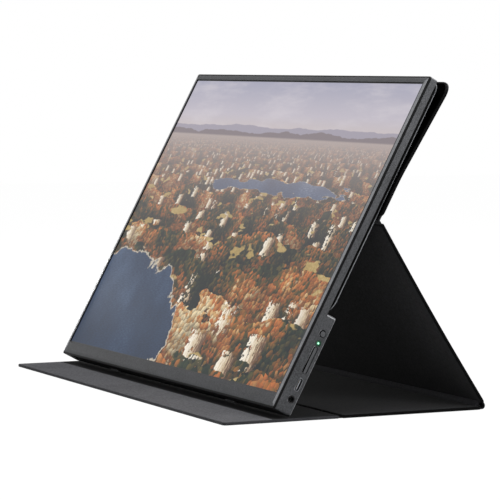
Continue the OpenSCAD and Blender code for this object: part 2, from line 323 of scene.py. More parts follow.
def cloud(place, scale, detail=2, rough=0.5):
    """Soft noise from 0 to 1, with its scale in lumps per metre."""
    return place.add("TexNoise", inputs={"Vector": place, "Scale": scale, "Detail": detail,
                                         "Roughness": rough}, output="Fac")


def clamp(wire):
    return wire.add("Clamp", inputs={"Value": wire})


def step(wire, low, high):
    """0 below low, 1 above high, and a smooth rise between them."""
    return wire.add("MapRange", {"interpolation_type": "SMOOTHSTEP"},
                    {"Value": wire, "From Min": low, "From Max": high})


def relief(height, depth):
    """The surface raised by a height from 0 to 1 times depth in metres."""
    return height.add("Bump", inputs={"Height": height, "Distance": depth, "Strength": 1},
                      output="Normal")


def speckled(place, fine, coarse):
    """Fine and coarse noise together, with its contrast raised, from 0 to 1."""
    return clamp(cloud(place, fine, 3, 0.7) * 2.4 + cloud(place, coarse, 3) - 1.2)


def blasted(name, dark, light, metallic, gloss, painted_glow=None):
    """Bead-blasted and anodised aluminium: fine pits and a faint cloudiness, and perhaps a painted glow
    laid over it.
    """
    material, place = surface(name, Metallic=metallic, Specular_IOR_Level=0.3)
    pits = cloud(place, 2600, 2, 0.6)
    clouds = cloud(place, 60, 3)
    colour = mixed(speckled(place, 900, 60), dark, light)
    if painted_glow:
        colour = painted_glow(place, colour)
    return feed(material, Base_Color=colour, Roughness=clouds * 0.1 + pits * 0.12 + gloss,
                Normal=relief(pits, 0.03 * mm))


def turned_faces(piece, place, test, index):
    """Gives the faces that pass a test another of the piece's materials."""
    flat = place.inverted()
    for face in piece.data.polygons:
        if test(flat.to_3x3() @ face.normal, flat @ face.center):
            face.material_index = index


shell = eased("shell", "rear_shell", 0.35 * mm)
shell_low, shell_high = flat_box("rear_shell", on_monitor)
step_height = max(point.y for point in flat_points("rear_shell", on_monitor)
                  if point.z < shell_low.z + roughly)
step_round = 2.2 * mm
slim_start = step_height + 1.5 * mm
slim_back = max(point.z for point in flat_points("rear_plate", on_monitor))
pipe_low, pipe_high = flat_box("light_pipe", on_monitor)
pipe_middle = on_monitor @ ((pipe_low + pipe_high) / 2)
halo_start = 1.5 * mm
halo_end = 2.5 * mm


def from_pipe(place):
    """How far a place is from the light pipe's axis, in metres."""
    offset = place.vector("SUBTRACT", pipe_middle)
    return offset.vector("MULTIPLY", (0, 1, 1)).vector("LENGTH", output="Value")


def painted_glow_halo(place, colour):
    """A colour with the status light's green glow painted round its hole, as painted light."""
    return mixed(1 - step(from_pipe(place), halo_start, halo_end), colour, tone(0, 50, 28))


def shaded(normal, spot):
    """The top and bottom walls, and the rear bevel of the slim part, which get painted shade."""
    return abs(normal.y) > 0.85 or spot.y > slim_start and normal.z < -0.2


def takes_painted_highlight(normal, spot):
    """The bevels of the housing's side walls, at its back and at its step, which get a painted highlight.
    """
    bevelled = 0.25 < abs(normal.x) < 0.96
    on_housing = spot.z < slim_back and spot.y < step_height + roughly
    return bevelled and on_housing and (normal.z < -0.25 or spot.y > step_height - step_round)


# The green round the status light's hole on the housing is painted light: the light pipe's glow.
shell.data.materials.append(blasted("dark_anodising", tone(43, 44, 46), tone(75, 76, 79), 0.3, 0.36,
                                    painted_glow_halo))
# Those bevels get a pale metallic copy of the anodising, as a painted highlight.
shell.data.materials.append(blasted("painted_highlight_edge", tone(128, 129, 132), tone(164, 165, 168), 0.9, 0.3))
# The top and bottom walls and the slim part's rear bevel are painted near black, as painted shade.
shell.data.materials.append(blasted("painted_shade_anodising", tone(9, 9, 10), tone(17, 17, 18), 0.1, 0.5))
turned_faces(shell, on_monitor, shaded, 2)
turned_faces(shell, on_monitor, takes_painted_highlight, 1)
fixed(shell, "monitor", "housing_metal", "rear_shell")


# Behind the display lie a sheet of diffuser films, a clear light guide with a bar of small
# lamps under it, a white reflector and a thin steel tray. They are sealed in the shell.
def brushed(name, dark, light, gloss):
    """Rolled or ground metal, with fine lines that run along X."""
    material, place = surface(name, Metallic=1)
    stretched = place.add("Mapping", inputs={"Vector": place, "Scale": (1, 30, 30)})
    lines = cloud(stretched, 120, 4)
    return feed(material, Base_Color=mixed(lines, dark, light), Roughness=lines * 0.2 + gloss,
                Normal=relief(lines, 0.01 * mm))


def moulded(name, dark, light, gloss, grain=1800, depth=0.02, **constants):
    """Moulded plastic or film with a fine even grain."""
    material, place = surface(name, **constants)
    bumps = cloud(place, grain, 2)
    patches = cloud(place, 45, 2)
    return feed(material, Base_Color=mixed(patches * 0.6 + bumps * 0.4, dark, light),
                Roughness=bumps * 0.12 + gloss, Normal=relief(bumps, depth * mm))


def coat(material, *names):
    """Gives CAD nodes a material."""
    for name in names:
        nodes[name].data.materials.clear()
        nodes[name].data.materials.append(material)


coat(moulded("white_film", tone(226, 228, 232), tone(240, 241, 243), 0.45),
     "diffuser_films", "reflector_sheet")
coat(moulded("clear_acrylic", tone(206, 222, 230), tone(222, 234, 240), 0.08, 300, 0.01,
             Transmission_Weight=0.8, IOR=1.49), "light_guide")
coat(brushed("zinc_sheet", tone(150, 153, 157), tone(186, 188, 190), 0.3), "panel_tray")

led_paint, led_place = surface("lamp_strip", Roughness=0.5)
led_pitch = 6 * mm
led_share = 0.45
led_step = led_place.coordinate(0) / led_pitch
led_here = led_step.math("LESS_THAN", led_step.math("FRACT", led_step), led_share)
coat(feed(led_paint, Base_Color=mixed(led_here, tone(235, 235, 230), tone(240, 214, 120))),
     "led_bar")


# The front frame is a flat aluminium ring with a bevelled outer edge, anodised dark grey on
# its face. Its rim is black, so that it shows as a thin dark line against the shell. The bevel
# at its sides is painted brighter and glossier, as a painted highlight.
tolerance = 0.01 * mm
corner_steps = 6


def choose(kind, test):
    """In edit mode, selects only the faces or edges that pass the test."""
    bpy.ops.mesh.select_mode(type=kind)
    bpy.ops.mesh.select_all(action="DESELECT")
    mesh = bmesh.from_edit_mesh(bpy.context.object.data)
    mesh.normal_update()
    for item in mesh.faces if kind == "FACE" else mesh.edges:
        if test(item):
            item.select_set(True)
    bmesh.update_edit_mesh(bpy.context.object.data)


def middle(edge):
    return (edge.verts[0].co + edge.verts[1].co) / 2


def upright(edge):
    along = edge.verts[1].co - edge.verts[0].co
    return abs(along.z) > 0.99 * along.length


def box(name, low, high):
    """A plain box between two corners, as a start for a piece."""
    take_up()
    bpy.ops.mesh.primitive_cube_add(size=1, location=(low + high) / 2)
    piece = bpy.context.object
    piece.name = name
    piece.scale = high - low
    bpy.ops.object.transform_apply(location=True, rotation=True, scale=True)
    return piece


def plate(name, low, high, near_radius, far_radius):
    """A box whose upright corners are round, with one radius at its near end and one at its far end."""
    piece = box(name, low, high)
    bpy.ops.object.mode_set(mode="EDIT")
    for end, radius in ((low.y, near_radius), (high.y, far_radius)):
        choose("EDGE", lambda edge: upright(edge) and abs(middle(edge).y - end) < tolerance)
        if radius:
            bpy.ops.mesh.bevel(offset=radius, segments=corner_steps, affect="EDGES")
    bpy.ops.object.mode_set(mode="OBJECT")
    return piece


def cut_out(piece, low, high):
    """Cuts a box-shaped opening or pocket into a piece."""
    cutter = box("cutter", low, high)
    apply_modifier(piece, "BOOLEAN", operation="DIFFERENCE", object=cutter, solver="EXACT")
    bpy.data.objects.remove(cutter)


def stand(piece, place):
    """Puts a piece that was made flat where it belongs."""
    piece.data.transform(place)
    piece.data.update()


rim_slope = Vector((1.3, 0.48)) * mm
cut_slope = Vector((2.4, 0.42)) * mm
bezel_radius = 2 * mm
spare = 1 * mm
low, high = flat_box("front_frame", on_monitor)
front_points = [p for p in flat_points("front_frame", on_monitor) if p.z > -tolerance]
view_side = min(abs(point.x) for point in front_points)
view_points = [point.y for point in front_points if abs(abs(point.x) - view_side) < tolerance]
view_low, view_high = min(view_points), max(view_points)
panel_low, panel_high = flat_box("lcd_panel", on_monitor)
panel_gap = 0.2 * mm
flat_enough = 0.965

bezel = box("bezel", low, Vector((high.x, high.y, -rim_slope.y - cut_slope.y)))
bpy.ops.object.mode_set(mode="EDIT")
choose("FACE", lambda face: face.normal.z > 0.9)
bpy.ops.mesh.inset(thickness=rim_slope.x, depth=rim_slope.y)
bpy.ops.mesh.inset(thickness=cut_slope.x, depth=cut_slope.y)
choose("EDGE", upright)
bpy.ops.mesh.bevel(offset=bezel_radius, segments=corner_steps, affect="EDGES")
bpy.ops.object.mode_set(mode="OBJECT")
cut_out(bezel, Vector((-view_side, view_low, low.z - spare)), Vector((view_side, view_high, spare)))
cut_out(bezel, Vector((panel_low.x - panel_gap, panel_low.y - panel_gap, low.z - spare)),
        Vector((panel_high.x + panel_gap, panel_high.y + panel_gap, panel_high.z)))
rounded(bezel, 0.12 * mm, 20)
bezel.data.materials.append(blasted("bezel_anodising", tone(36, 37, 39), tone(66, 67, 70), 0.22, 0.42))
bezel.data.materials.append(moulded("black_rim", tone(4, 4, 5), tone(9, 9, 10), 0.5,
                                    Specular_IOR_Level=0.1))
# The bevel faces at the frame's sides get a brighter metallic copy of the anodising, as a painted
# highlight.
bezel.data.materials.append(blasted("painted_glint_edge", tone(104, 105, 108), tone(136, 137, 140), 0.9, 0.24))
turned_faces(bezel, on_table, lambda normal, spot: normal.z < flat_enough, 1)
turned_faces(bezel, on_table, lambda normal, spot: abs(normal.x) > 0.05 and normal.z > flat_enough, 2)
stand(bezel, on_monitor)
fixed(bezel, "monitor", "frame_metal", "front_frame")


# The display is a glass panel with a matt coating, a black printed border, and a picture
# that is lit from behind. The picture is a made-up autumn valley seen from high up.
border = 0.75 * mm
display = box("display", panel_low, panel_high)
bpy.ops.object.mode_set(mode="EDIT")
picture_low = Vector((-view_side + border, view_low + border))
picture_high = Vector((view_side - border, view_high - border))
for edge_place, direction in (((picture_low.x, 0, 0), (1, 0, 0)), ((picture_high.x, 0, 0), (1, 0, 0)),
                              ((0, picture_low.y, 0), (0, 1, 0)), ((0, picture_high.y, 0), (0, 1, 0))):
    choose("FACE", lambda face: face.normal.z > 0.9)
    bpy.ops.mesh.bisect(plane_co=edge_place, plane_no=direction)
bpy.ops.object.mode_set(mode="OBJECT")
for face in display.data.polygons:
    inside = abs(face.center.x) < picture_high.x and picture_low.y < face.center.y < picture_high.y
    face.material_index = int(face.normal.z > 0.9 and inside)
display.data.materials.append(moulded("black_border", tone(6, 6, 8), tone(12, 12, 14), 0.3,
                                      Specular_IOR_Level=0.3))

glass, glass_place = surface("lit_picture", Roughness=0.42, Specular_IOR_Level=0.12,
                             Emission_Strength=1, Base_Color=(0.004, 0.004, 0.005, 1))
picture_size = picture_high - picture_low
picture_corner = on_monitor @ Vector((picture_low.x, picture_low.y, panel_high.z))
at = glass_place.add("Mapping", {"vector_type": "TEXTURE"}, {
    "Vector": glass_place, "Location": picture_corner, "Rotation": (lean, 0, 0),
    "Scale": (picture_size.y, picture_size.y, picture_size.y)})
across = at.coordinate(0)
up = at.coordinate(1)


def together(x, y, z=0.0):
    return x.add("CombineXYZ", inputs={0: x, 1: y, 2: z})


def ramp(wire, *stops):
    """Colours along a value from 0 to 1."""
    return wire.add("ValToRGB", {"stops": [(place, tone(*colour)) for place, colour in stops]},
                    {"Fac": wire}, "Color")


# The land is drawn in rows of wooded ridges, one behind another. Each is at a smaller
# scale than the one before it, with a lit crest, a shaded foot and a wandering edge.
horizon = 0.80
rows_in_half = 2.6
depth = clamp(up.math("MAXIMUM", horizon - up, 0.004))
lie = (cloud(together(across, up * 2.2), 4.5, 3, 0.55) - 0.5) * 2.6
raw_row = depth.math("LOGARITHM", depth, 2) * -rows_in_half + lie
row = raw_row.math("FLOOR", raw_row)
climb = raw_row - row
zoom = row.math("POWER", 2 ** (1 / rows_in_half), row)
ground_x = across * zoom
ground_y = up * zoom
ground = together(ground_x, ground_y, row * 3.7)

# Crowns of trees, each lit from the upper left, in patches of one autumn colour or another
crown_scale = 44
crowns = ground.add("TexVoronoi", {"feature": "F1"},
                    {"Vector": ground, "Scale": crown_scale, "Randomness": 0.9}, "Distance")
dice = crowns.add("SeparateColor", inputs={0: crowns.other("Color")}, output=0)
offset = ground.vector("SUBTRACT", crowns.other("Position"))
lit_side = offset.vector("DOT_PRODUCT", (-0.7 * crown_scale, 0.8 * crown_scale, 0), output="Value")
leaves = cloud(ground, 150, 3, 0.6)
patches = cloud(ground, 2.4, 3, 0.55)
hue = clamp(dice * 0.5 + (patches - 0.5) * 2.6 + 0.16)
tree_colour = ramp(hue, (0.0, (22, 36, 30)), (0.2, (44, 58, 40)), (0.38, (96, 84, 46)),
                   (0.52, (158, 100, 48)), (0.66, (196, 112, 56)), (0.82, (206, 158, 96)),
                   (1.0, (232, 212, 170)))
shade = clamp(0.08 + lit_side * 0.7 + (leaves - 0.5) * 1.1 - crowns * 0.3 + climb * 0.85)
forest = mixed(shade, mixed(0.3, tone(14, 18, 28), tree_colour), tree_colour)

# Pale cliffs stand out of the forest, bright on their left side and brown on their right
cliff_scale = 5.5
cliffs = ground.add("TexVoronoi", {"feature": "F1", "distance": "CHEBYCHEV"},
                    {"Vector": ground, "Scale": cliff_scale, "Randomness": 0.75}, "Distance")
cliff_dice = cliffs.add("SeparateColor", inputs={0: cliffs.other("Color")}, output=0)
cliff_x = ground.vector("SUBTRACT", cliffs.other("Position")).coordinate(0) * cliff_scale
ragged = cloud(ground, 30, 4, 0.65)
cliff_here = step(cliff_dice, 0.74, 0.75) * step(0.38 + (ragged - 0.5) * 0.9 - cliffs, 0.0, 0.03)
cracks = cloud(together(ground_x * 4.0, ground_y, row), 24, 4, 0.7)
cliff_light = clamp(0.60 - cliff_x * 1.3 + (cracks - 0.5) * 1.6)
cliff_colour = ramp(cliff_light, (0.0, (56, 46, 42)), (0.35, (128, 98, 76)), (0.6, (206, 186, 154)),
                    (1.0, (240, 232, 216)))
land = mixed(cliff_here, forest, cliff_colour)

# Golden meadows lie between the trees
meadow_here = step(cloud(together(ground_x, ground_y * 2.2, row * 1.7), 3.2, 3), 0.62, 0.65)
meadow_colour = ramp(clamp(cloud(ground, 60, 3) * 0.7 + cloud(ground, 5, 2) * 0.5 - 0.1),
                     (0.0, (104, 92, 48)), (0.5, (176, 150, 92)), (1.0, (222, 206, 166)))
land = mixed(meadow_here, land, meadow_colour)

# A lake fills the lower left, with an arm behind it, and pale banks
coast = cloud(at, 5.5, 5, 0.6) - 0.5
near_x = (across - 0.16) / 0.56
near_y = (up - 0.08) / 0.27
near_lake = near_x * near_x + near_y * near_y + coast * 1.5
far_x = (across - 1.0) / 0.42
far_y = (up - 0.63) / 0.026
far_lake = far_x * far_x + far_y * far_y + (cloud(together(across, up * 4.0), 6, 4) - 0.5) * 6.0
shore = near_lake.math("MINIMUM", near_lake, far_lake)
bank_here = 1 - step(shore, 1.01, 1.05)
bank_colour = ramp(cloud(at, 70, 3, 0.7), (0.3, (132, 120, 104)), (0.7, (226, 218, 200)))
land = mixed(bank_here, land, bank_colour)
lake_here = 1 - step(shore, 0.97, 1.0)
ripples = cloud(together(across, up * 6.0), 60, 3, 0.65)
deep = clamp(ripples * 0.6 + cloud(at, 4, 3) * 0.7 - 0.28 + up * 0.5)
lake_colour = ramp(deep, (0.1, (20, 30, 46)), (0.45, (40, 58, 84)), (0.75, (74, 96, 126)),
                   (1.0, (150, 162, 182)))
land = mixed(lake_here, land, lake_colour)

# Haze thickens towards the horizon, over two far ranges of hills and a pale cloudy sky
haze = depth.math("EXPONENT", depth * -6.5)
land = mixed(haze * 0.92, land, tone(178, 166, 164))
sky = ramp(clamp((up - horizon) / 0.2), (0.0, (198, 186, 182)), (0.4, (188, 182, 192)),
           (1.0, (160, 160, 178)))
streaks = step(cloud(together(across, up * 5.0), 3.2, 5, 0.6), 0.42, 0.72)
view = mixed(streaks * 0.5, sky, tone(206, 200, 206))
for number, (rise, bumps, colour) in enumerate(((0.030, 3.0, (160, 154, 166)),
                                                (0.012, 6.5, (134, 124, 128)))):
    skyline = cloud(together(across, across * 0.0 + number), bumps, 4, 0.55) * 0.05 + rise - 0.02
    hills = 1 - step(up - horizon - skyline, 0.0, 0.003)
    view = mixed(hills, view, tone(*colour))
view = mixed(1 - step(up - horizon, -0.004, 0.004), view, land)
display.data.materials.append(feed(glass, Emission_Color=view))
rounded(display, 0)
stand(display, on_monitor)
fixed(display, "monitor", "display_glass", "lcd_panel")


# The main board sits on four low bosses in the right half of the housing, held by four
# screws. A ribbon joins it to the display. It carries chips, two kinds of switch, a pin
# for the rocker key, and the sockets.
mask, board_place = surface("solder_mask", Roughness=0.4, Coat_Weight=0.3)
cells = board_place.add("TexVoronoi", {"feature": "DISTANCE_TO_EDGE"},
                        {"Vector": board_place, "Scale": 420})
tracks = 1 - step(cells, 0.04, 0.08)
coat(feed(mask, Base_Color=mixed(tracks, tone(22, 74, 48), tone(46, 110, 70)),
          Normal=relief(tracks, 0.03 * mm)), "main_board")
coat(moulded("chip_epoxy", tone(26, 26, 28), tone(40, 40, 43), 0.5, 2400), "board_chips")
coat(moulded("screw_oxide", tone(34, 34, 36), tone(56, 56, 58), 0.3, 2000, Metallic=0.8),
     "board_screws")
coat(moulded("amber_film", tone(176, 112, 44), tone(204, 140, 66), 0.25, 500), "display_ribbon")
coat(brushed("plated_cap", tone(150, 152, 156), tone(196, 198, 202), 0.28),
     "power_switch", "rocker_switches")
coat(brushed("ground_pin", tone(176, 178, 182), tone(214, 216, 220), 0.2), "rocker_pin")
coat(brushed("nickel_plate", tone(176, 176, 172), tone(206, 206, 202), 0.14),
     "plate_magnets", "cover_magnets")


# The data socket is a folded steel shell with a black tongue inside, which carries a row
# of gold contacts on each face. The headphone socket is a black barrel with a steel ring
# round its mouth and a bright spring inside.
wall_x = shell_high.x
socket_low, socket_high = flat_box("usb_c_socket", on_monitor)
socket_middle = (socket_low + socket_high) / 2
socket = eased("data_socket", "usb_c_socket", 0.07 * mm)
socket.data.materials.append(brushed("socket_steel", tone(104, 106, 110), tone(150, 152, 156), 0.3))
fixed(socket, "monitor", "socket_steel", "usb_c_socket")

tongue_half = 0.35 * mm
contact_count = 12
contact_pitch = 0.5 * mm
contact_size = Vector((3.2, 0.26, 0.05)) * mm
contact_depth = 2.6 * mm
contact = box("contact", -contact_size / 2, contact_size / 2)
rounded(contact, 0.02 * mm)
contact.data.materials.append(brushed("gold_contact", tone(196, 158, 84), tone(226, 190, 112), 0.22))
contacts = []
for side in (-1, 1):
    for number in range(contact_count):
        copy = contact.copy()
        copy.data = contact.data.copy()
        bpy.context.scene.collection.objects.link(copy)
        copy.data.transform(Matrix.Translation((
            wall_x - contact_depth,
            socket_middle.y + (number - (contact_count - 1) / 2) * contact_pitch,
            socket_middle.z + side * (tongue_half + contact_size.z / 2))))
        contacts.append(copy)
bpy.data.objects.remove(contact)
take_up(contacts[0])
for copy in contacts:
    copy.select_set(True)
bpy.ops.object.join()
contacts[0].name = "socket_contacts"
stand(contacts[0], on_monitor)
fixed(contacts[0], "monitor", "socket_steel")

jack_low, jack_high = flat_box("headphone_jack", on_monitor)
jack_middle = (jack_low + jack_high) / 2
jack = eased("headphone_barrel", "headphone_jack", 0.12 * mm)
jack.data.materials.append(moulded("barrel_plastic", tone(10, 10, 11), tone(20, 20, 21), 0.45,
                                   Specular_IOR_Level=0.25))
fixed(jack, "monitor", "jack_plastic", "headphone_jack")

jack_bore = 1.8 * mm
spring_depth = 5 * mm
spring_length = 3 * mm
spring_wall = 0.08 * mm
spring_clear = 0.02 * mm
take_up()
bpy.ops.mesh.primitive_cylinder_add(
    vertices=40, radius=jack_bore - spring_clear, depth=spring_length, end_fill_type="NOTHING",
    location=(wall_x - spring_depth, jack_middle.y, jack_middle.z), rotation=(0, math.pi / 2, 0))
spring = bpy.context.object
spring.name = "jack_spring"
bpy.ops.object.transform_apply(location=True, rotation=True, scale=True)
apply_modifier(spring, "SOLIDIFY", thickness=spring_wall, offset=-1)
rounded(spring, 0.02 * mm)
spring.data.materials.append(brushed("spring_steel", tone(160, 162, 166), tone(206, 208, 212), 0.2))
stand(spring, on_monitor)
fixed(spring, "monitor", "jack_plastic")


# The power button and the long rocker key are dark plastic, and stand just inside the
# wall. Under the button a clear green light pipe ends flush, lit from the board.
key_paint = moulded("key_plastic", tone(58, 59, 61), tone(82, 83, 86), 0.42, 2200,
                    Specular_IOR_Level=0.3)
# Cap faces that lie more than 0.9 mm inside the wall are painted black, as painted shadow in the recess.
shadow_paint = moulded("painted_recess_shadow", tone(3, 3, 3), tone(6, 6, 7), 0.6, Specular_IOR_Level=0.05)
flange_x = wall_x - 1.5 * mm
recess_x = wall_x - 0.9 * mm
front_gap = 0.8 * mm
for name, node, body, both_ways in (("button_cap", "power_button", "power_button", True),
                                    ("rocker_cap", "rocker_key", "rocker_key", False)):
    cap = eased(name, node, 0.2 * mm)
    stand(cap, on_monitor.inverted())
    shaft = [vertex for vertex in cap.data.vertices if vertex.co.x > flange_x]
    rear = min(vertex.co.z for vertex in shaft)
    width = max(vertex.co.z for vertex in shaft) - rear
    centre = sum((vertex.co.y for vertex in shaft), 0.0) / len(shaft)
    share = 1 - front_gap / width
    for vertex in shaft:
        vertex.co.z = rear + (vertex.co.z - rear) * share
        if both_ways:
            vertex.co.y = centre + (vertex.co.y - centre) * share
    cap.data.materials.append(key_paint)
    cap.data.materials.append(shadow_paint)
    turned_faces(cap, on_table, lambda normal, spot: spot.x < recess_x, 1)
    stand(cap, on_monitor)
    fixed(cap, body, "button_plastic", node)

pipe = eased("status_light", "light_pipe", 0.15 * mm)
pipe_radius = 0.95 * mm
lit, lit_place = surface("lit_pipe", Roughness=0.25, Emission_Strength=1.6)
ring = step(from_pipe(lit_place) / pipe_radius, 0.3, 0.85)
pipe.data.materials.append(feed(
    lit, Base_Color=mixed(ring, tone(120, 230, 170), tone(10, 90, 50)),
    Emission_Color=mixed(ring, tone(190, 255, 224), tone(0, 84, 46))))
fixed(pipe, "monitor", "status_light", "light_pipe")


# Two flat speakers stand behind slots in the bottom wall: a black plastic box with a
# ribbed paper cone. Two soft grey pads under the same wall keep it off the cover.
cone_paint, cone_place = surface("speaker_plastic", Roughness=0.6)
fine = cloud(cone_place, 1600, 2)
coat(feed(cone_paint, Base_Color=mixed(fine, tone(28, 28, 30), tone(48, 48, 50)),
          Normal=relief(fine, 0.03 * mm)), "left_speaker", "right_speaker")

pads = eased("foot_pads", "rubber_feet", 0.3 * mm)
pads.data.materials.append(moulded("grey_rubber", tone(88, 88, 90), tone(112, 112, 114), 0.7, 900,
                                   0.05))
fixed(pads, "monitor", "foot_rubber", "rubber_feet")


# A black plastic plate covers the slim part of the back. It is hollow, with magnets under
# it that hold the cover. Its mould was etched to a fine matt grain. Its side walls are near
# black, with a pale line along their rear edge that is a painted highlight.
back_plate = eased("back_plate", "rear_plate", 0.4 * mm)
back_plate.data.materials.append(moulded("plate_plastic", tone(5, 5, 6), tone(12, 12, 13), 0.42,
                                         1500, 0.05, Specular_IOR_Level=0.1))
plate_back = flat_box("rear_plate", on_monitor)[0].z
plate_depth = -plate_back
highlight_width = 0.75 * mm
highlight_wander = 0.4 * mm
edge_paint, edge_place = surface("plate_edge", Specular_IOR_Level=0.03)
edge_depth = edge_place.vector("DOT_PRODUCT", -out_of_face, output="Value") + front
uneven = cloud(edge_place, 70, 3)
# A pale line along the side walls' rear edge, as a painted highlight.
painted_highlight_share = step(edge_depth + uneven * highlight_wander,
              plate_depth - highlight_width, plate_depth - highlight_width / 2)
feed(edge_paint, Base_Color=mixed(painted_highlight_share, tone(2, 2, 2), tone(120, 122, 125)),
     Roughness=uneven * 0.2 + 0.4, Normal=relief(cloud(edge_place, 1500, 2), 0.03 * mm))
back_plate.data.materials.append(edge_paint)
turned_faces(back_plate, on_monitor, lambda normal, spot: abs(normal.z) < 0.9, 1)
fixed(back_plate, "monitor", "plate_plastic", "rear_plate")


# The cover is one sheet folded into four stiff panels. Each has a fibre board inside, an
# outer skin of black grained coated fabric, which is turned over its rim, and an inner
# lining of short-napped microfibre, which is laid into the turned rim and pressed flat.
rim_width = 1.2 * mm
rim_round = 0.4 * mm
lining_depth = 0.3 * mm
lining_gap = 0.08 * mm
lining_sunk = 0.02 * mm
hem_width = 2.0 * mm
hem_slope = 0.7 * mm
hem_step = 0.2 * mm
shadow_soft = 0.4 * mm
cover_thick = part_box("base_lining")[1][2]


def grained(name, dark, light, gloss, shine):
    """Coated fabric with a leather grain: small round pebbles with creases between them."""
    material, place = surface(name, Specular_IOR_Level=shine)
    pebbles = place.add("TexVoronoi", {"feature": "SMOOTH_F1"},
                        {"Vector": place, "Scale": 1150, "Smoothness": 0.4})
    warp = cloud(place, 500, 3)
    height = 1 - pebbles * 0.8 + warp * 0.3
    scuffs = cloud(place, 24, 4, 0.6)
    return feed(material, Base_Color=mixed(scuffs * 0.6 + pebbles * 0.4, dark, light),
                Roughness=scuffs * 0.12 + pebbles * 0.1 + gloss, Normal=relief(height, 0.11 * mm))


def napped(name, dark, light, depth=0.06, sheen=0.03, strip=None):
    """Microfibre with a short nap, brushed in patches. It may carry a painted shadow behind a line across
    it.
    """
    material, place = surface(name, Roughness=0.95, Specular_IOR_Level=sheen, Sheen_Weight=sheen,
                              Sheen_Roughness=0.5)
    fibres = cloud(place, 1900, 3, 0.7)
    tufts = cloud(place, 420, 2, 0.6)
    brushing = cloud(place, 16, 4, 0.55)
    share = clamp(speckled(place, 800, 420) * 0.8 + (brushing - 0.5) * 0.9 + 0.1)
    colour = mixed(share, dark, light)
    if strip:
        line, shadow_tone = strip
        in_painted_shadow = step(place.coordinate(1), line - shadow_soft, line + shadow_soft)
        colour = mixed(in_painted_shadow, colour, shadow_tone)
    return feed(material, Base_Color=colour,
                Normal=relief(fibres * 0.6 + tufts * 0.6, depth * mm))


skin_paint = grained("black_grained_skin", tone(15, 15, 16), tone(36, 36, 38), 0.46, 0.16)
# The turned rim of the upper panel, strut and base is a darker copy of the skin, as painted shade.
painted_shade_rim = grained("painted_shade_rim_skin", tone(2, 2, 2), tone(7, 7, 8), 0.5, 0.04)
# The strut's and base's lining is a darker copy of the flap's grey microfibre, as painted shade.
painted_shade_nap = napped("painted_shade_microfibre", tone(26, 26, 27), tone(45, 45, 47))
# The upper panel's lining is a near-black copy of the same microfibre, as painted shade.
painted_deep_shade_nap = napped("painted_deep_shade_microfibre", tone(1, 1, 1), tone(5, 5, 5), sheen=0)


def outer_wall(face):
    return abs(face.normal.z) < 0.1


def skin_tray(name, low, high, near_radius, far_radius, paints, rim):
    """One panel's skin, lining side up: a tray, and the rim turned over it in a paint of its own, which
    is painted shade on the upper panel, strut and base, and painted light on the flap.
    """
    piece = plate(name, Vector((low.x, low.y, low.z + hem_step)), high, near_radius, far_radius)
    bpy.ops.object.mode_set(mode="EDIT")
    choose("FACE", lambda face: face.normal.z > 0.9)
    bpy.ops.mesh.inset(thickness=rim)
    bpy.ops.mesh.extrude_region_move(TRANSFORM_OT_translate={"value": (0, 0, -lining_depth)})
    choose("FACE", lambda face: face.normal.z < -0.9)
    bpy.ops.mesh.inset(thickness=hem_width)
    bpy.ops.mesh.inset(thickness=hem_slope, depth=hem_step)
    top, bottom = high.z, low.z + hem_step

    def on_rim(edge):
        walls = [face for face in edge.link_faces if outer_wall(face)]
        level = abs(edge.verts[0].co.z - edge.verts[1].co.z) < tolerance
        at_rim = min(abs(middle(edge).z - top), abs(middle(edge).z - bottom)) < tolerance
        centre = Vector((0, (low.y + high.y) / 2, 0))
        return level and at_rim and walls and walls[0].normal.dot(middle(edge) - centre) > 0

    choose("EDGE", on_rim)
    bpy.ops.mesh.bevel(offset=rim_round, segments=3, affect="EDGES")
    bpy.ops.object.mode_set(mode="OBJECT")
    for paint in paints:
        piece.data.materials.append(paint)
    turned_faces(piece, on_table, lambda normal, spot: normal.z > -0.5, 1)
    return piece


def lining_sheet(name, low, high, near_radius, far_radius, paint, rim):
    """The lining of one panel, laid in its tray just inside the turned rim."""
    inset = Vector((rim + lining_gap, rim + lining_gap, 0))
    bottom = Vector((low.x, low.y, high.z - lining_depth)) + inset
    top = Vector((high.x, high.y, high.z - lining_sunk)) - inset
    piece = plate(name, bottom, top, max(near_radius - inset.x, 0), max(far_radius - inset.x, 0))
    piece.data.materials.append(paint)
    return piece


def cut_across(piece, places):
    """Cuts a piece across at each place along Y, so that it can be bent there."""
    take_up(piece)
    bpy.ops.object.mode_set(mode="EDIT")
    for place in places:
        bpy.ops.mesh.select_all(action="SELECT")
        bpy.ops.mesh.bisect(plane_co=(0, place, 0), plane_no=(0, 1, 0))
    bpy.ops.object.mode_set(mode="OBJECT")


def panel(part, place, radii, skin, lining, body, lining_slot, bend=None, cuts=(), rim=rim_width):
    """One panel of the cover: its skin and its lining, bent if need be and put in place."""
    low, high = flat_box(part + "_lining", place)
    low.z = high.z - cover_thick
    made = ((skin_tray(part + "_cover", low, high, *radii, skin, rim), "_skin", "cover_skin"),
            (lining_sheet(part + "_nap", low, high, *radii, lining, rim), "_lining", lining_slot))
    for piece, ending, slot in made:
        if bend:
            cut_across(piece, cuts)
            for vertex in piece.data.vertices:
                vertex.co.z += bend(vertex.co.y)
        rounded(piece, 0)
        stand(piece, place)
        fixed(piece, body, slot, part + ending)


# The upper panel is held flat on the back plate by magnets as far up as its bend, and
# then leans off it, a little past the monitor's top.
cover_radius = 10 * mm
foot_radius = 3 * mm
touching = 0.02 * mm
lining_points = flat_points("upper_lining", on_monitor)
bend_line = max(point.y for point in lining_points if abs(point.z - plate_back) < touching)
panel_top = max(point.y for point in lining_points)
top_rise = plate_back - max(point.z for point in lining_points if point.y > panel_top - roughly)
bend_soft = 7 * mm
bend_steps = 4


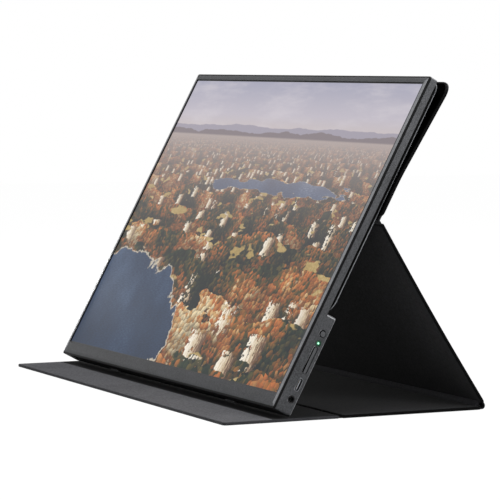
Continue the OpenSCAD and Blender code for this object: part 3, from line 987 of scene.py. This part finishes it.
def upper_bend(place):
    """How far the upper panel leans back at a place, with a soft start."""
    slope = top_rise / (panel_top - bend_line)
    past = place - bend_line
    if past < -bend_soft:
        return 0
    if past < bend_soft:
        return -slope * (past + bend_soft) ** 2 / (4 * bend_soft)
    return -slope * past


upper_cuts = [bend_line + bend_soft * number / bend_steps
              for number in range(-bend_steps, bend_steps + 1)]
panel("upper", on_monitor, (foot_radius, cover_radius), (skin_paint, painted_shade_rim), painted_deep_shade_nap, "monitor",
      "cover_lining", upper_bend, upper_cuts)


# The strut runs from the fold behind the monitor's middle down to the fold at the table. It
# carries the monitor's weight, and is bowed a little towards the inside by it.
rear_fold = Vector(joints["rear_fold"]["pos_m"])
upper_fold = Vector(joints["upper_fold"]["pos_m"])
strut_line = upper_fold - rear_fold
strut_lean = math.atan2(strut_line.z, -strut_line.y)
on_strut = Matrix.Translation(rear_fold) @ Matrix.Rotation(math.pi - strut_lean, 4, "X")
strut_low, strut_high = flat_box("strut_skin", on_strut)
strut_depth = strut_high.y - strut_low.y
strut_bow = 0.9 * mm
fold_radius = 4 * mm
strut_steps = 14
strut_cuts = [strut_low.y + strut_depth * number / strut_steps for number in range(1, strut_steps)]


def bowed(place):
    """How far the strut bows inwards at a place along it."""
    return strut_bow * math.sin(math.pi * (place - strut_low.y) / strut_depth)


panel("strut", on_strut, (fold_radius, 0), (skin_paint, painted_shade_rim), painted_shade_nap, "strut",
      "cover_lining", bowed, strut_cuts)
board_low, board_high = flat_box("strut_board", on_strut)
strut_stiffener = box("strut_stiffener", board_low, board_high)
cut_across(strut_stiffener, strut_cuts)
for vertex in strut_stiffener.data.vertices:
    vertex.co.z += bowed(vertex.co.y)
board_paint = moulded("fibre_board", tone(120, 112, 96), tone(158, 148, 128), 0.7, 700, 0.05)
strut_stiffener.data.materials.append(board_paint)
rounded(strut_stiffener, 0)
stand(strut_stiffener, on_strut)
fixed(strut_stiffener, "strut", "stiffener", "strut_board")
coat(board_paint, "upper_board", "base_board", "flap_board")


# The base lies on the table, and the front flap carries the monitor's foot. The flap's grey
# lining shows as a grey shelf in front of the monitor. Behind a line under the monitor's face
# it carries the monitor's painted shadow.
flap_rim = 0.45 * mm
shadow_line = -59.5 * mm
# The flap's turned rim is a grey copy of the black skin, as painted light.
painted_light_rim = grained("painted_light_grained_skin", tone(44, 44, 46), tone(64, 64, 67), 0.55, 0.05)
# Behind the line the lining is painted dark, as the monitor's painted shadow.
grey_nap = napped("grey_microfibre", tone(66, 66, 69), tone(100, 100, 103),
                  strip=(shadow_line, tone(24, 24, 25)))
panel("base", on_table, (0, fold_radius), (skin_paint, painted_shade_rim), painted_shade_nap, "base", "cover_lining")
panel("flap", on_table, (foot_radius, 0), (skin_paint, painted_light_rim), grey_nap, "front_flap", "flap_lining",
      rim=flap_rim)


# Between two panels the skin runs on alone, and so makes the fold. It is turned over with
# the rim at both sides of the cover, and its ends are glued between the layers.
skin_near = 0.1 * mm
skin_far = 0.8 * mm
fold_gap = 2.8 * mm
glued_end = 0.4 * mm
fold_steps = 12


def fold_band(name, width, turn, bend, place, node):
    """A band of skin that runs to a fold, round it and on. The fold is at the frame's origin."""
    lead = fold_gap + glued_end
    before = (bend - skin_far) * math.tan(turn / 2)
    take_up()
    bpy.ops.mesh.primitive_plane_add(size=1, location=(0, -lead, -(skin_near + skin_far) / 2),
                                     rotation=(math.pi / 2, 0, 0))
    piece = bpy.context.object
    piece.name = name
    piece.scale = (width, skin_far - skin_near, 1)
    bpy.ops.object.transform_apply(location=True, rotation=True, scale=True)
    bpy.ops.object.mode_set(mode="EDIT")
    bpy.ops.mesh.select_all(action="SELECT")
    bpy.ops.mesh.extrude_region_move(TRANSFORM_OT_translate={"value": (0, lead - before, 0)})
    bpy.ops.mesh.spin(steps=fold_steps, angle=-turn, center=(0, -before, bend - skin_far), axis=(1, 0, 0))
    along = (0, (lead - before) * math.cos(turn), (lead - before) * math.sin(turn))
    bpy.ops.mesh.extrude_region_move(TRANSFORM_OT_translate={"value": along})
    bpy.ops.mesh.select_all(action="SELECT")
    bpy.ops.mesh.remove_doubles(threshold=weld)
    bpy.ops.mesh.normals_make_consistent(inside=False)
    bpy.ops.object.mode_set(mode="OBJECT")
    piece.data.materials.append(skin_paint)
    rounded(piece, 0)
    stand(piece, place)
    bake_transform(piece)
    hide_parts(node)


cover_width = 2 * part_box("base_skin")[1][0]
edge_inset = 0.5 * mm
rear_inset = 1.8 * mm
rear_bend = 2.3 * mm
fold_band("rear_fold_band", cover_width - 2 * rear_inset, math.pi - strut_lean, rear_bend,
          Matrix.Translation(rear_fold), "rear_fold_strip")
on_upper_fold = Matrix.Translation(upper_fold) @ Matrix.Rotation(lean + math.pi, 4, "X")
fold_band("upper_fold_band", cover_width - 2 * edge_inset, math.pi - lean - strut_lean, skin_far,
          on_upper_fold, "upper_fold_strip")

crease = Vector(joints["front_crease"]["pos_m"])
flap_clear = 0.3 * mm
crease_lap = 0.6 * mm
crease_bottom = 0.25 * mm
crease_top = 0.9 * mm
crease_steps = 16
crease_low = Vector((-cover_width / 2 + rim_width, crease.y - flap_clear - crease_lap, crease_bottom))
crease_high = Vector((cover_width / 2 - rim_width, crease.y + fold_gap + crease_lap, crease_top))
crease_band = box("crease_band", crease_low, crease_high)
crease_depth = crease_high.y - crease_low.y
cut_across(crease_band, [crease_low.y + crease_depth * number / crease_steps
                         for number in range(1, crease_steps)])
crease_band.data.materials.append(skin_paint)
rounded(crease_band, 0)
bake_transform(crease_band)
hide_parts("crease_strip")


# Inside the rear fold a soft roll of the lining fills the corner. It is coloured lighter than
# the lining round it, as a painted highlight, and it crumples flat on the base when the strut
# is swung back.
roll_leg = 4 * mm
roll_sunk = 0.1 * mm
roll_edge = 0.9 * mm
roll_bulge = 0.35 * mm
along_strut = Vector((0, -math.cos(strut_lean), math.sin(strut_lean)))
inward = Vector((0, -math.sin(strut_lean), -math.cos(strut_lean)))
half_thick = cover_thick / 2
corner_y = rear_fold.y - half_thick * (1 + math.cos(strut_lean)) / math.sin(strut_lean)
corner = Vector((0, corner_y, cover_thick))
roll_half = cover_width / 2 - rim_width - fold_radius
on_strut_side = corner + along_strut * roll_leg - inward * roll_sunk
roll = box("fold_roll", Vector((-roll_half, corner_y - roll_leg, cover_thick - roll_sunk)),
           Vector((roll_half, corner_y, cover_thick + roll_leg)))
for vertex in roll.data.vertices:
    near = vertex.co.y < corner_y - roll_leg / 2
    if vertex.co.z > cover_thick + roll_sunk:
        aim = on_strut_side if near else on_strut_side - along_strut * roll_leg / 2
        vertex.co.y, vertex.co.z = aim.y, aim.z
front_face = max(roll.data.polygons, key=lambda face: face.area * (face.normal.y < -0.3)).index
take_up(roll)
bpy.ops.object.mode_set(mode="EDIT")
choose("FACE", lambda face: face.index == front_face)
bpy.ops.mesh.inset(thickness=roll_edge, depth=roll_bulge)
bpy.ops.object.mode_set(mode="OBJECT")
rounded(roll, 0.3 * mm, 15, 3)
roll.data.materials.append(napped("painted_highlight_lining", tone(56, 56, 59), tone(76, 76, 80), 0.03))
fixed(roll, "base", "cover_lining")
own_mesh(roll)
